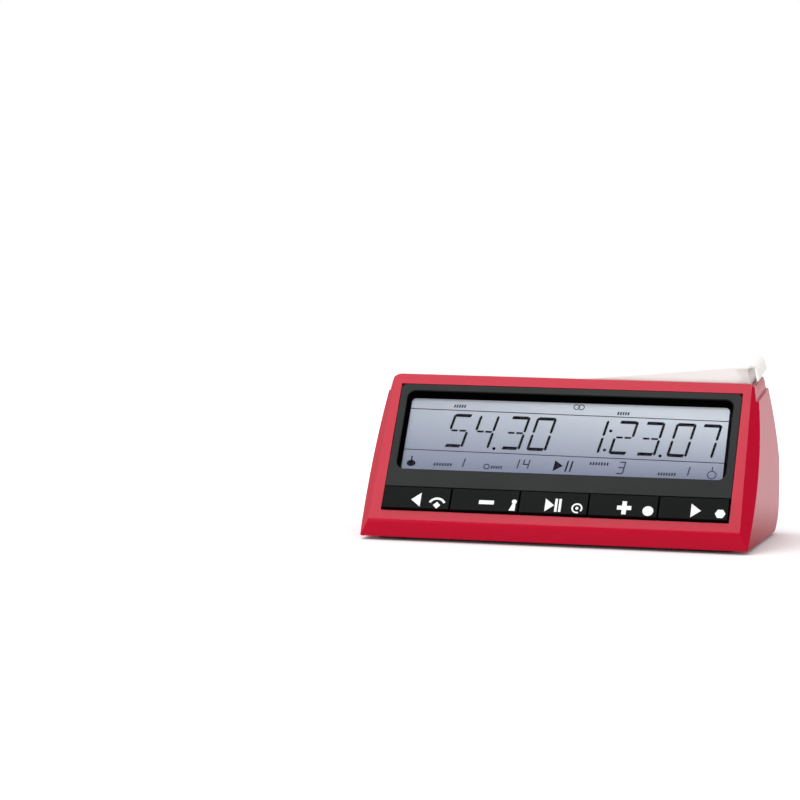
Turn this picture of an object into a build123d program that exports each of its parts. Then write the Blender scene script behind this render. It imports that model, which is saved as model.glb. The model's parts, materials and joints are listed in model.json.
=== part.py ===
from build123d import *
import os
from math import atan2, copysign, cos, hypot, radians, sin, tan

# Chess clock: a wedge housing with a display in its leaning front, five keys and a rocker on top.
# Millimetres. X runs along the clock, Y from front to back, Z up; the feet stand on Z = 0.

# overall sizes
length = 223.0
depth = 114.4
face_len = 95.2
crease_z = 10.5
face_tilt = 34.5
rocker_slope = 6.4
rocker_swing = 6.0

# housing outline
ground_gap = 2.0
bevel_run = 1.8
face_inset_bottom = 7.8
face_inset_top = 9.9
corner_inset_bottom = 2.5
corner_inset_top = 6.6
corner_depth_bottom = 7.0
corner_depth_top = 4.5
front_inset = 2.7
side_bow = 340.0
side_bow_z = 25.0
rocker_setback = 16.6
rocker_rake = 1.0
seam_drop = 9.5
rear_bend_drop = 49.0
side_round = 7.0
rear_low_round = 18.0
round_below = 5.0
crease_round = 5.0
rear_bend_round = 55.0
seam_round = 18.0
rear_top_round = 4.0
wall = 2.6

# seam between the housing and the rocker
seam_gap = 0.4
lip_inset = 1.3
lip_clear = 0.4
rim = 1.5
cap_wall = 1.0
cap_top = 2.2
skirt = 1.6
skirt_clear = 0.9
skirt_end_clear = 2.9
skirt_corner = 6.7
skirt_start = 2.5
skirt_taper = 5.6
front_round = 1.8
rib = 1.4
rib_drop = 5.0
rib_pitch = 30.0

# rocker pivot
pivot_drop = 7.5
pin_r = 2.0
pin_grip = 0.02
pin_play = 0.05
pin_end = 1.0
hub_r = 4.2
ear_half = 5.0
ear_len = 4.6
ear_gap = 0.4
ear_below = 4.0
ear_above = 4.1
magnet_r = 4.0
magnet_h = 3.0
magnet_inset = 25.5

# front panel, measured up the face (v) and square into it (d)
panel_inset = 14.7
panel_low = 7.8
panel_high = 88.7
panel_gap = 0.4
panel_round = 3.0
key_top = 21.35
key_gap = 0.35
key_count = 5
key_proud = 1.8
key_sink = 2.2
key_travel = 1.0
key_lip = 0.8
key_lip_t = 0.6
stem_w = 9.4
stem_h = 4.4
stem_end = 7.7
deck_t = 1.2
flange = 1.4
flange_t = 1.4
view_inset = 6.3
view_low = 34.9
view_high = 81.2
view_shift = 1.4
view_draft = 2.4
view_sink = 3.0
view_round = 2.5
window_t = 0.9
window_edge = 1.2
glass_t = 2.2
glass_edge = 1.6
tray_edge = 2.2
tray_wall = 2.2
post_r = 2.0
post_hole_r = 0.8
post_v_high = 85.6
post_v_low = 28.0
post_pitch = 53.0
board_d = 9.8
board_t = 1.6
board_inset = 2.8
board_low = 9.0
board_high = 87.4
mat_t = 0.8
fit_gap = 0.1

# base
base_inset = 10.9
base_front = 5.5
base_rear_inset = 19.4
base_round = 8.0
base_low = 0.8
base_t = 2.4
foot_r = 5.0
foot_sink = 0.4
foot_inset = 25.5
foot_front = 16.0
foot_rear = 30.4
boss_r = 3.6
boss_inset = 17.5
boss_front = 28.0
boss_rear = 48.4
boss_top = 18.0
screw_r = 1.4
screw_head_r = 2.7
screw_head_t = 1.2
screw_len = 11.0

# battery bay
cell_r = 7.25
cell_len = 50.5
cell_play = 0.5
bay_x = 25.0
bay_rear = 5.0
bay_wall = 1.6
spring_room = 5.0
contact_t = 0.5
door_t = 1.0
door_tongue = 1.2
door_play = 0.15
door_travel = 30.0

# power button, jack and buzzer
button_x, button_rear, button_r = -50.0, 42.4, 4.5
button_play = 0.12
button_travel = 1.0
jack_rear, jack_z = 29.4, 20.5
jack_r, jack_len = 1.8, 12.0
jack_collar_r = 3.0
jack_block = 9.0
buzzer_r, buzzer_h = 11.0, 5.0
buzzer_x, buzzer_y = -20.0, 30.0
buzzer_hole = 1.0

# parts soldered to the rear of the main board: places across and up the face, then width, height, thickness
chip_v = 50.0
processor_w, processor_t = 14.0, 1.4
memory_x, memory_w, memory_h, memory_t = 30.0, 5.0, 4.0, 1.5
crystal_x, crystal_v, crystal_w, crystal_h, crystal_t = -24.0, 56.0, 8.0, 3.0, 2.4
sensor_v, sensor_w, sensor_h, sensor_t = 81.0, 4.0, 3.0, 1.2
capacitor_rows, capacitor_columns, capacitor_pitch = (32.0, 38.0), 6, 8.0
capacitor_w, capacitor_h, capacitor_t = 1.6, 0.8, 0.6

# worked-out places; the sharp crease stands crease_back in front of the rounded one
face_lean, bevel_lean = radians(face_tilt), atan2(bevel_run, crease_z - ground_gap)
crease_back = crease_round * (cos((face_lean - bevel_lean) / 2) / cos((face_lean + bevel_lean) / 2) - 1)
front_y = -depth / 2 - crease_back
half = length / 2
front_half = length / 2 - front_inset
round_low_z = ground_gap - round_below
face_half_bottom, face_half_top = half - face_inset_bottom, half - face_inset_top
corner_half_bottom, corner_half_top = half - corner_inset_bottom, half - corner_inset_top
panel_half = length / 2 - panel_inset
view_half = panel_half - view_inset
board_half = panel_half - board_inset
base_half = length / 2 - base_inset
sin_tilt, cos_tilt = sin(face_lean), cos(face_lean)


def on_face(v, d=0.0):
    """Y and Z of a point v up the front face and d behind it."""
    return front_y + v * sin_tilt + d * cos_tilt, crease_z + v * cos_tilt - d * sin_tilt


def behind_face(point):
    """How far a point lies behind the front face."""
    return (point.Y - front_y) * cos_tilt - (point.Z - crease_z) * sin_tilt


def face_plane(d):
    """Plane parallel to the front face, d behind it; its X is the clock's X and its Y runs up the face."""
    y, z = on_face(0, d)
    return Plane(origin=(0, y, z), x_dir=(1, 0, 0), z_dir=(0, -cos_tilt, sin_tilt))


top_y, top_z = on_face(face_len)
rear_top_y = depth / 2 - rocker_setback
rise = tan(radians(rocker_slope))


def top_at(y):
    """Height of the rocker's flush top at y."""
    return top_z + (y - top_y) * rise


rear_top_z = top_at(rear_top_y)
skirt_y = top_y + rim + seam_gap
skirt_inset = wall + skirt_clear
magnet_x = half - magnet_inset
pivot_z = top_z - pivot_drop
pivot_axis = Axis((0, 0, pivot_z), (0, 1, 0))
high = 2 * rear_top_z
key_pitch = 2 * panel_half / key_count
key_low = panel_low + key_gap
view_mid = (view_low + view_high) / 2
view_tall = view_high - view_low
deck_d = wall + fit_gap + key_lip_t + key_travel + fit_gap
window_d = view_sink
glass_d = wall + flange_t
glass_half, glass_tall = view_half + glass_edge, view_tall + 2 * glass_edge
tray_half, tray_tall = view_half + tray_edge, view_tall + 2 * tray_edge
base_top = base_low + base_t
base_rear = depth - base_rear_inset
base_mid_y = front_y + (base_front + base_rear) / 2
boss_ys = (front_y + boss_front, depth / 2 - boss_rear)
boss_places = [(side * (half - boss_inset), y) for side in (-1, 1) for y in boss_ys]
foot_ys = (front_y + foot_front, depth / 2 - foot_rear)
foot_places = [(side * (half - foot_inset), y) for side in (-1, 1) for y in foot_ys]
button_y = depth / 2 - button_rear
jack_y = depth / 2 - jack_rear
bay_half = cell_len / 2 + (spring_room + contact_t + cell_play) / 2
bay_tall = 4 * cell_r + 2 * cell_play
bay_mid_y = front_y + base_rear - bay_rear - bay_tall / 2
bay_top = base_top + 2 * cell_r
cell_z = base_low + door_t + door_play + cell_r + fit_gap


def make_facet_cutter(inset):
    """Removes the housing's front corners: a ruled facet on each side of the face."""
    with BuildPart() as cutter:
        for v in (-face_len / 4, face_len * 5 / 4):
            share = v / face_len
            face_x = face_half_bottom + (face_half_top - face_half_bottom) * share
            side_x = corner_half_bottom + (corner_half_top - corner_half_bottom) * share
            side_d = corner_depth_bottom + (corner_depth_top - corner_depth_bottom) * share
            span = hypot(side_x - face_x, side_d)
            along_x, along_d = (side_x - face_x) / span, side_d / span
            near = (face_x - along_d * inset - along_x * span, along_x * inset - along_d * span)
            far = (side_x - along_d * inset + along_x * span, side_d + along_x * inset + along_d * span)
            y, z = on_face(v)
            with BuildSketch(Plane(origin=(0, y, z), x_dir=(1, 0, 0), z_dir=(0, sin_tilt, cos_tilt))):
                with BuildLine():
                    Polyline(near, far, (length, far[1]), (length, near[1]), close=True)
                make_face()
        loft(ruled=True)
        mirror(about=Plane.YZ)
    return cutter.part


def make_right_bow(inset):
    """Everything inside the right side wall: a large cylinder that spreads towards the back."""
    flare = Vector(front_inset, depth, 0).normalized()
    with BuildPart() as bow:
        foot = (front_half, front_y, side_bow_z)
        with BuildSketch(Plane(origin=foot, x_dir=(-flare.Y, flare.X, 0), z_dir=flare)):
            with Locations((side_bow, 0)):
                Circle(side_bow - inset)
        extrude(amount=2 * depth, both=True)
    return bow.part


def make_envelope(inset):
    """The clock's whole outer shape, rocker pressed flush, moved inwards by inset."""
    cutter = make_facet_cutter(inset)
    right_bow = make_right_bow(inset)
    with BuildPart() as block:
        with BuildSketch(Plane.YZ) as side:
            with BuildLine():
                Polyline(
                    (front_y, crease_z),
                    (top_y, top_z),
                    (rear_top_y, rear_top_z),
                    (rear_top_y + rocker_rake, rear_top_z - seam_drop),
                    (depth / 2, rear_top_z - rear_bend_drop),
                    (depth / 2, round_low_z),
                    (front_y + bevel_run * (crease_z - round_low_z) / (crease_z - ground_gap), round_low_z),
                    close=True,
                )
            make_face()
            if inset:
                offset(amount=-inset, kind=Kind.INTERSECTION)
            low, bend = side.vertices().sort_by(Axis.X)[-2:].sort_by(Axis.Y)
            seam, top = side.vertices().sort_by(Axis.X)[-4:-2].sort_by(Axis.Y)
            fillet(low, rear_low_round - inset)
            fillet(bend, rear_bend_round - inset)
            fillet(seam, seam_round - inset)
            fillet(top, rear_top_round - inset)
        extrude(amount=length, both=True)
        add(right_bow, mode=Mode.INTERSECT)
        add(right_bow.mirror(Plane.YZ), mode=Mode.INTERSECT)
        ends = block.faces().filter_by(lambda f: abs(f.normal_at(f.center()).X) > 0.9).edges()
        fillet(ends.filter_by(lambda e: behind_face(e.center()) > 2 * wall), side_round - inset)
        add(cutter, mode=Mode.SUBTRACT)
        with BuildSketch(Plane.XY.offset(ground_gap + inset)):
            Rectangle(2 * length, 2 * depth)
        extrude(amount=-crease_z, mode=Mode.SUBTRACT)
        fillet(block.edges().sort_by(Axis.Y)[0], crease_round - inset)
    return block.part


def make_below_top(drop, thick):
    """A thick slab whose upper face lies drop below the rocker's flush top."""
    with BuildPart() as slab:
        with BuildSketch(Plane.YZ):
            with BuildLine():
                Polyline(
                    (front_y - depth, top_at(front_y - depth) - drop),
                    (depth, top_at(depth) - drop),
                    (depth, top_at(depth) - drop - thick),
                    (front_y - depth, top_at(front_y - depth) - drop - thick),
                    close=True,
                )
            make_face()
        extrude(amount=length, both=True)
    return slab.part


def make_rocker_space(gap, setback):
    """Room for the rocker, drawn back by gap: behind the rim, and beside the lip from setback inwards."""
    y_near = top_y + rim + gap
    facet = Vector(corner_half_top - face_half_top, corner_depth_top / cos_tilt, 0).normalized()
    corner_x = face_half_top - (rim + gap) * (1 - facet.X) / facet.Y
    far_x, far_y = corner_x + length * facet.X, y_near + length * facet.Y
    right_bow = make_right_bow(lip_inset - gap)
    with BuildPart() as between_sides:
        add(right_bow)
        add(right_bow.mirror(Plane.YZ), mode=Mode.INTERSECT)
    with BuildPart() as space:
        with BuildSketch(Plane.YZ):
            with BuildLine():
                Polyline(
                    on_face(0, setback),
                    on_face(2 * face_len, setback),
                    (2 * depth, high),
                    (2 * depth, 0),
                    close=True,
                )
            make_face()
        extrude(amount=length, both=True)
        add(between_sides.part, mode=Mode.SUBTRACT)
        with BuildSketch(Plane.XY):
            with BuildLine():
                Polyline((-corner_x, y_near), (corner_x, y_near), (far_x, far_y), (-far_x, far_y), close=True)
            make_face()
        extrude(amount=high)
        add(make_below_top(seam_drop - gap, high), mode=Mode.SUBTRACT)
    return space.part


os.makedirs("parts", exist_ok=True)

outer = make_envelope(0)
inner = make_envelope(wall)
rocker_room = make_rocker_space(0, 0)

# Lip: the housing's inset upstand, hidden by the rocker's sides when an end is pressed.
inside_skin = make_envelope(lip_inset)
with BuildPart() as lip:
    add(inside_skin)
    add(rocker_room, mode=Mode.INTERSECT)
    add(make_below_top(wall + lip_clear, high), mode=Mode.INTERSECT)

ear_front_y = on_face(panel_high + flange, glass_d)[0] + 2 * fit_gap
hub_front_y = ear_front_y + ear_len + ear_gap
ear_rear_y = rear_top_y - wall - ear_len
hub_rear_y = ear_rear_y - ear_gap
pin_len = ear_rear_y + ear_len - ear_front_y - 2 * pin_end
flange_top_z = on_face(panel_high + flange, wall)[1]

# Ears that carry the rocker's pin, one behind the front wall and one inside the rear wall.
with BuildPart() as ears:
    with BuildSketch(Plane.YZ):
        with BuildLine():
            Polyline(
                (ear_front_y, pivot_z - ear_below),
                (ear_front_y + ear_len, pivot_z - ear_below),
                (ear_front_y + ear_len, pivot_z + ear_above),
                (ear_front_y - wall, pivot_z + ear_above),
                (ear_front_y - wall, flange_top_z + seam_gap),
                (ear_front_y, flange_top_z + seam_gap),
                close=True,
            )
        make_face()
        with Locations(((ear_rear_y + rear_top_y) / 2, pivot_z)):
            Rectangle(rear_top_y - ear_rear_y, 2 * ear_below)
    extrude(amount=ear_half, both=True)
    add(inside_skin, mode=Mode.INTERSECT)

# Bosses for the base screws, each tied to the side wall by a web.
with BuildPart() as bosses:
    with BuildSketch(Plane.XY.offset(base_top)):
        with Locations(*boss_places):
            Circle(boss_r)
        for x, y in boss_places:
            with Locations(((x + copysign(front_half, x)) / 2, y)):
                Rectangle(front_half - abs(x), wall / 2)
    extrude(amount=boss_top - base_top)
    add(inside_skin, mode=Mode.INTERSECT)

# Upper casing: the red housing, open at the top for the rocker and below for the base.
with BuildPart() as upper_casing:
    add(outer)
    add(rocker_room, mode=Mode.SUBTRACT)
    add(lip.part)
    add(inner, mode=Mode.SUBTRACT)
    with BuildSketch(face_plane(-wall)):
        with Locations((0, (panel_low + panel_high) / 2)):
            Rectangle(2 * (panel_half + panel_gap), panel_high - panel_low + 2 * panel_gap)
    extrude(amount=-3 * wall, mode=Mode.SUBTRACT)
    with BuildSketch(Plane.XY) as floor_opening:
        with Locations((0, base_mid_y)):
            RectangleRounded(2 * base_half + 2 * seam_gap, base_rear - base_front + 2 * seam_gap, base_round)
    extrude(amount=ground_gap + 2 * wall, mode=Mode.SUBTRACT)
    add(bosses.part)
    with BuildSketch(Plane.XY.offset(base_top)):
        with Locations(*boss_places):
            Circle(screw_r)
    extrude(amount=screw_len, mode=Mode.SUBTRACT)
    add(ears.part)
    with BuildSketch(Plane.XZ.offset(-ear_front_y - pin_end)):
        with Locations((0, pivot_z)):
            Circle(pin_r + pin_grip)
        with Locations((0, pivot_z + hub_r)):
            Rectangle(2 * (pin_r + pin_grip), 2 * hub_r)
    extrude(amount=-pin_len, mode=Mode.SUBTRACT)
    with Locations(Location((-half, jack_y, jack_z), (0, 90, 0))):
        Cylinder(jack_collar_r + fit_gap, 4 * wall, mode=Mode.SUBTRACT)
upper_casing.part.label = "upper_casing"
export_step(upper_casing.part, "parts/upper_casing.step")

# Rocker: a shallow V. Its left half lies flush at rest; the right half is the same, mirrored and raised.
ring_front = skirt_y
ring_rear = rear_top_y - skirt_inset
ring_end = corner_half_top - wall - skirt_end_clear


def ring_outline(inset):
    """Plan of the inner skirt's left half, drawn in by inset, its front corner cut back for the facet."""
    return [
        (0, ring_front + inset),
        (-(ring_end - skirt_corner - inset), ring_front + inset),
        (-(ring_end - inset), ring_front + skirt_corner / 2 + inset),
        (-(ring_end - inset), ring_rear - inset),
        (0, ring_rear - inset),
    ]


with BuildPart() as rocker_shell:
    add(outer)
    add(make_rocker_space(seam_gap, corner_depth_top + seam_gap), mode=Mode.INTERSECT)
    with BuildSketch(Plane.YZ):
        with Locations((skirt_y + front_round / 2, top_at(skirt_y) - front_round / 2)):
            Rectangle(front_round, 2 * front_round)
        with Locations((skirt_y + front_round, top_at(skirt_y + front_round) - front_round)):
            Circle(front_round, mode=Mode.SUBTRACT)
        with Locations((skirt_y + front_round / 2, top_at(skirt_y) - 1.5 * front_round)):
            Rectangle(2 * front_round, front_round, mode=Mode.SUBTRACT)
    extrude(amount=face_half_top, both=True, mode=Mode.SUBTRACT)
with BuildPart() as rocker_hollow:
    add(make_envelope(cap_wall))
    add(make_below_top(cap_top, high), mode=Mode.INTERSECT)
with BuildPart() as rocker_skirt:
    with BuildSketch(Plane.XY):
        with BuildLine():
            Polyline(*ring_outline(0), close=True)
        make_face()
        with BuildLine():
            Polyline(*ring_outline(skirt), close=True)
        make_face(mode=Mode.SUBTRACT)
    extrude(amount=high)
    add(make_below_top(cap_top / 2, high), mode=Mode.INTERSECT)
    with BuildSketch(Plane.XZ):
        with BuildLine():
            Polyline(
                (0, top_z - skirt_start),
                (-length, top_z - skirt_start - length * tan(radians(skirt_taper))),
                (-length, 0),
                (0, 0),
                close=True,
            )
        make_face()
    extrude(amount=depth, both=True, mode=Mode.SUBTRACT)
with BuildPart() as rocker_ribs:
    rib_count = int(ring_end / rib_pitch)
    with BuildSketch(Plane.XY):
        for step in range(1, rib_count + 1):
            with Locations((-step * rib_pitch, (ring_front + ring_rear) / 2)):
                Rectangle(rib, ring_rear - ring_front - skirt)
        with Locations((-ring_end / 2, (ring_front + ring_rear) / 2)):
            Rectangle(ring_end - skirt, rib)
    extrude(amount=high)
    add(make_below_top(cap_top / 2, rib_drop), mode=Mode.INTERSECT)
magnet_y = (ring_front + ring_rear) / 2 - magnet_r
magnet_low = top_at(magnet_y) - seam_drop
with BuildPart() as magnet_cup:
    with BuildSketch(Plane.XY.offset(magnet_low + magnet_h)):
        with Locations((-magnet_x, magnet_y)):
            Circle(magnet_r + rib)
    extrude(amount=high)
    add(make_below_top(cap_top / 2, high), mode=Mode.INTERSECT)

with BuildPart() as pressed_half:
    add(rocker_shell.part)
    add(rocker_hollow.part, mode=Mode.SUBTRACT)
    add(rocker_skirt.part)
    add(rocker_ribs.part)
    add(magnet_cup.part)
    split(bisect_by=Plane.YZ, keep=Keep.BOTTOM)

raised_half = pressed_half.part.mirror(Plane.YZ).rotate(pivot_axis, -rocker_swing)
with BuildPart() as rocker:
    add(pressed_half.part)
    add(raised_half)
    with BuildSketch(Plane.XZ.offset(-hub_front_y)):
        with Locations((0, pivot_z)):
            Circle(hub_r)
        with Locations((0, (pivot_z + top_z - skirt_start / 2) / 2)):
            Rectangle(hub_r, top_z - skirt_start / 2 - pivot_z)
    extrude(amount=-(hub_rear_y - hub_front_y))
    with Locations(Location((0, 0, pivot_z), (90, 0, 0))):
        Cylinder(pin_r + pin_play, depth, mode=Mode.SUBTRACT)
rocker.part.label = "rocker"
export_step(rocker.part, "parts/rocker.step")

with BuildPart() as rocker_pin:
    with BuildSketch(Plane.XZ.offset(-ear_front_y - pin_end)):
        with Locations((0, pivot_z)):
            Circle(pin_r)
    extrude(amount=-pin_len)
rocker_pin.part.label = "rocker_pin"
export_step(rocker_pin.part, "parts/rocker_pin.step")

with BuildPart() as one_magnet:
    with Locations((-magnet_x, magnet_y, magnet_low + magnet_h / 2)):
        Cylinder(magnet_r, magnet_h)
with BuildPart() as rocker_magnets:
    add(one_magnet.part)
    add(one_magnet.part.mirror(Plane.YZ).rotate(pivot_axis, -rocker_swing))
rocker_magnets.part.label = "rocker_magnets"
export_step(rocker_magnets.part, "parts/rocker_magnets.step")

# Bezel: the grey panel with the sunken view, a flange behind the housing wall and the key deck below.
plate_low = key_top + key_gap
flange_half = panel_half + flange
post_places = [(step * post_pitch, v) for v in (post_v_low, post_v_high) for step in (-1.5, -0.5, 0.5, 1.5)]
key_centres = [(step - (key_count - 1) / 2) * key_pitch for step in range(key_count)]
key_mid = (key_low + key_top) / 2
with BuildPart() as bezel:
    with BuildSketch(face_plane(0)) as plate_outline:
        with Locations((0, (plate_low + panel_high) / 2)):
            Rectangle(2 * panel_half, panel_high - plate_low)
        fillet(plate_outline.vertices().group_by(Axis.Y)[-1], panel_round)
    extrude(amount=-wall)
    with BuildSketch(face_plane(wall)):
        with Locations((0, flange + (plate_low + panel_high) / 2)):
            Rectangle(2 * flange_half, panel_high - plate_low)
    extrude(amount=-flange_t)
    with BuildSketch(face_plane(deck_d)):
        with Locations((0, (panel_low - flange + plate_low + 2 * flange) / 2)):
            Rectangle(2 * flange_half, plate_low + 3 * flange - panel_low)
    extrude(amount=-deck_t)
    with BuildSketch(face_plane(wall)):
        with Locations(*[(side * (flange_half - flange / 2 + fit_gap), key_mid) for side in (-1, 1)]):
            Rectangle(flange - 2 * fit_gap, key_top - panel_low)
        with Locations((0, plate_low + 1.5 * flange)):
            Rectangle(2 * flange_half, flange)
    extrude(amount=-(deck_d - wall + deck_t))
    with BuildSketch(face_plane(glass_d)):
        with Locations(*post_places):
            Circle(post_r)
    extrude(amount=-(board_d - glass_d))
    with BuildSketch(face_plane(0)):
        with Locations((0, view_mid + view_shift)):
            RectangleRounded(
                2 * (view_half + view_draft), view_tall + 2 * view_draft, view_round + view_draft
            )
    with BuildSketch(face_plane(view_sink)):
        with Locations((0, view_mid)):
            RectangleRounded(2 * view_half, view_tall, view_round)
    loft(mode=Mode.SUBTRACT)
    with BuildSketch(face_plane(window_d)):
        with Locations((0, view_mid)):
            Rectangle(2 * (view_half + window_edge), view_tall + 2 * window_edge)
    extrude(amount=-wall, mode=Mode.SUBTRACT)
    with BuildSketch(face_plane(deck_d)):
        with Locations(*[(x, key_mid) for x in key_centres]):
            Rectangle(stem_w + 2 * key_gap, stem_h + 2 * key_gap)
    extrude(amount=-deck_t, mode=Mode.SUBTRACT)
    with BuildSketch(face_plane(board_d)):
        with Locations(*post_places):
            Circle(post_hole_r)
    extrude(amount=board_d - glass_d, mode=Mode.SUBTRACT)
bezel.part.label = "bezel"
export_step(bezel.part, "parts/bezel.step")

with BuildPart() as window:
    with BuildSketch(face_plane(window_d)):
        with Locations((0, view_mid)):
            Rectangle(2 * (view_half + window_edge - fit_gap), view_tall + 2 * (window_edge - fit_gap))
    extrude(amount=-window_t)
window.part.label = "window"
export_step(window.part, "parts/window.step")

with BuildPart() as display_glass:
    with BuildSketch(face_plane(glass_d)):
        with Locations((0, view_mid)):
            Rectangle(2 * glass_half, glass_tall)
    extrude(amount=-glass_t)
display_glass.part.label = "display_glass"
export_step(display_glass.part, "parts/display_glass.step")

# Tray: holds the display glass against the bezel, with a slot for the rubber contact strip.
strip_w, strip_end = 2.4, 4.0
strip_v = view_low + strip_w
with BuildPart() as display_tray:
    with BuildSketch(face_plane(glass_d)):
        with Locations((0, view_mid)):
            Rectangle(2 * tray_half, tray_tall)
    extrude(amount=-(board_d - glass_d))
    with BuildSketch(face_plane(glass_d)):
        with Locations((0, view_mid)):
            Rectangle(2 * (glass_half + fit_gap), glass_tall + 2 * fit_gap)
    extrude(amount=-glass_t, mode=Mode.SUBTRACT)
    with BuildSketch(face_plane(board_d)):
        with Locations((0, view_mid + strip_w)):
            Rectangle(2 * (tray_half - tray_wall), tray_tall - 2 * tray_wall - 4 * strip_w)
    extrude(amount=board_d - glass_d - glass_t - tray_wall / 2, mode=Mode.SUBTRACT)
    with BuildSketch(face_plane(glass_d + glass_t)):
        with Locations((0, strip_v)):
            Rectangle(2 * (view_half - strip_end + fit_gap), strip_w + 2 * fit_gap)
    extrude(amount=-board_d, mode=Mode.SUBTRACT)
display_tray.part.label = "display_tray"
export_step(display_tray.part, "parts/display_tray.step")

with BuildPart() as contact_strip:
    with BuildSketch(face_plane(glass_d + glass_t)):
        with Locations((0, strip_v)):
            Rectangle(2 * (view_half - strip_end), strip_w)
    extrude(amount=-(board_d - glass_d - glass_t))
contact_strip.part.label = "contact_strip"
export_step(contact_strip.part, "parts/contact_strip.step")

# Keys: five caps in a row, each with a retaining lip and a stem through the deck.
key_names = ("key_back", "key_minus", "key_start_stop", "key_plus", "key_forward")
for name, x in zip(key_names, key_centres):
    with BuildPart() as key:
        with BuildSketch(face_plane(-key_proud)):
            with Locations((x, key_mid)):
                Rectangle(key_pitch - 2 * key_gap, key_top - key_low)
        extrude(amount=-(key_proud + key_sink))
        front_edges = key.faces().sort_by(Axis((0, 0, 0), (0, -cos_tilt, sin_tilt)))[-1].edges()
        fillet(front_edges, key_gap)
        with BuildSketch(face_plane(key_sink)):
            with Locations((x, key_mid)):
                Rectangle(key_pitch - 2 * key_lip, key_top - key_low)
        extrude(amount=-(wall + fit_gap + key_lip_t - key_sink))
        with BuildSketch(face_plane(wall + fit_gap)):
            with Locations((x, key_mid)):
                Rectangle(key_pitch - 2 * key_lip, key_top - key_low + 2 * key_lip)
        extrude(amount=-key_lip_t)
        with BuildSketch(face_plane(wall)):
            with Locations((x, key_mid)):
                Rectangle(stem_w, stem_h)
        extrude(amount=-(stem_end - wall))
    key.part.label = name
    export_step(key.part, f"parts/{name}.step")

with BuildPart() as key_mat:
    with BuildSketch(face_plane(board_d)):
        with Locations((0, key_mid)):
            Rectangle(2 * board_half - 2 * flange, key_top - key_low - 2 * flange)
    extrude(amount=mat_t)
key_mat.part.label = "key_mat"
export_step(key_mat.part, "parts/key_mat.step")

# Main board on the bezel's posts, its screws, and what is soldered on its rear face.
board_back = board_d + board_t
with BuildPart() as main_board:
    with BuildSketch(face_plane(board_d)):
        with Locations((0, (board_low + board_high) / 2)):
            Rectangle(2 * board_half, board_high - board_low)
        with Locations((0, board_high)):
            Rectangle(4 * ear_half, 2 * ear_len, mode=Mode.SUBTRACT)
        with Locations(*post_places):
            Circle(post_hole_r + fit_gap, mode=Mode.SUBTRACT)
    extrude(amount=-board_t)
main_board.part.label = "main_board"
export_step(main_board.part, "parts/main_board.step")

with BuildPart() as board_screws:
    with BuildSketch(face_plane(board_back)):
        with Locations(*post_places):
            Circle(post_r)
    extrude(amount=-post_hole_r)
    with BuildSketch(face_plane(board_back)):
        with Locations(*post_places):
            Circle(post_hole_r)
    extrude(amount=2 * board_t)
board_screws.part.label = "board_screws"
export_step(board_screws.part, "parts/board_screws.step")


def make_chips(places, wide, tall, thick):
    """Flat blocks on the rear face of the main board, at places given as x and v."""
    with BuildPart() as chips:
        with BuildSketch(face_plane(board_back)):
            with Locations(*places):
                Rectangle(wide, tall)
        extrude(amount=-thick)
    return chips


processor = make_chips([(0, chip_v)], processor_w, processor_w, processor_t)
processor.part.label = "processor"
export_step(processor.part, "parts/processor.step")

memory_chip = make_chips([(memory_x, chip_v)], memory_w, memory_h, memory_t)
memory_chip.part.label = "memory_chip"
export_step(memory_chip.part, "parts/memory_chip.step")

crystal = make_chips([(crystal_x, crystal_v)], crystal_w, crystal_h, crystal_t)
crystal.part.label = "crystal"
export_step(crystal.part, "parts/crystal.step")

hall_sensors = make_chips([(-magnet_x, sensor_v), (magnet_x, sensor_v)], sensor_w, sensor_h, sensor_t)
hall_sensors.part.label = "hall_sensors"
export_step(hall_sensors.part, "parts/hall_sensors.step")

capacitor_xs = [(step - (capacitor_columns - 1) / 2) * capacitor_pitch for step in range(capacitor_columns)]
capacitor_places = [(x, v) for x in capacitor_xs for v in capacitor_rows]
capacitors = make_chips(capacitor_places, capacitor_w, capacitor_h, capacitor_t)
capacitors.part.label = "capacitors"
export_step(capacitors.part, "parts/capacitors.step")

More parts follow.
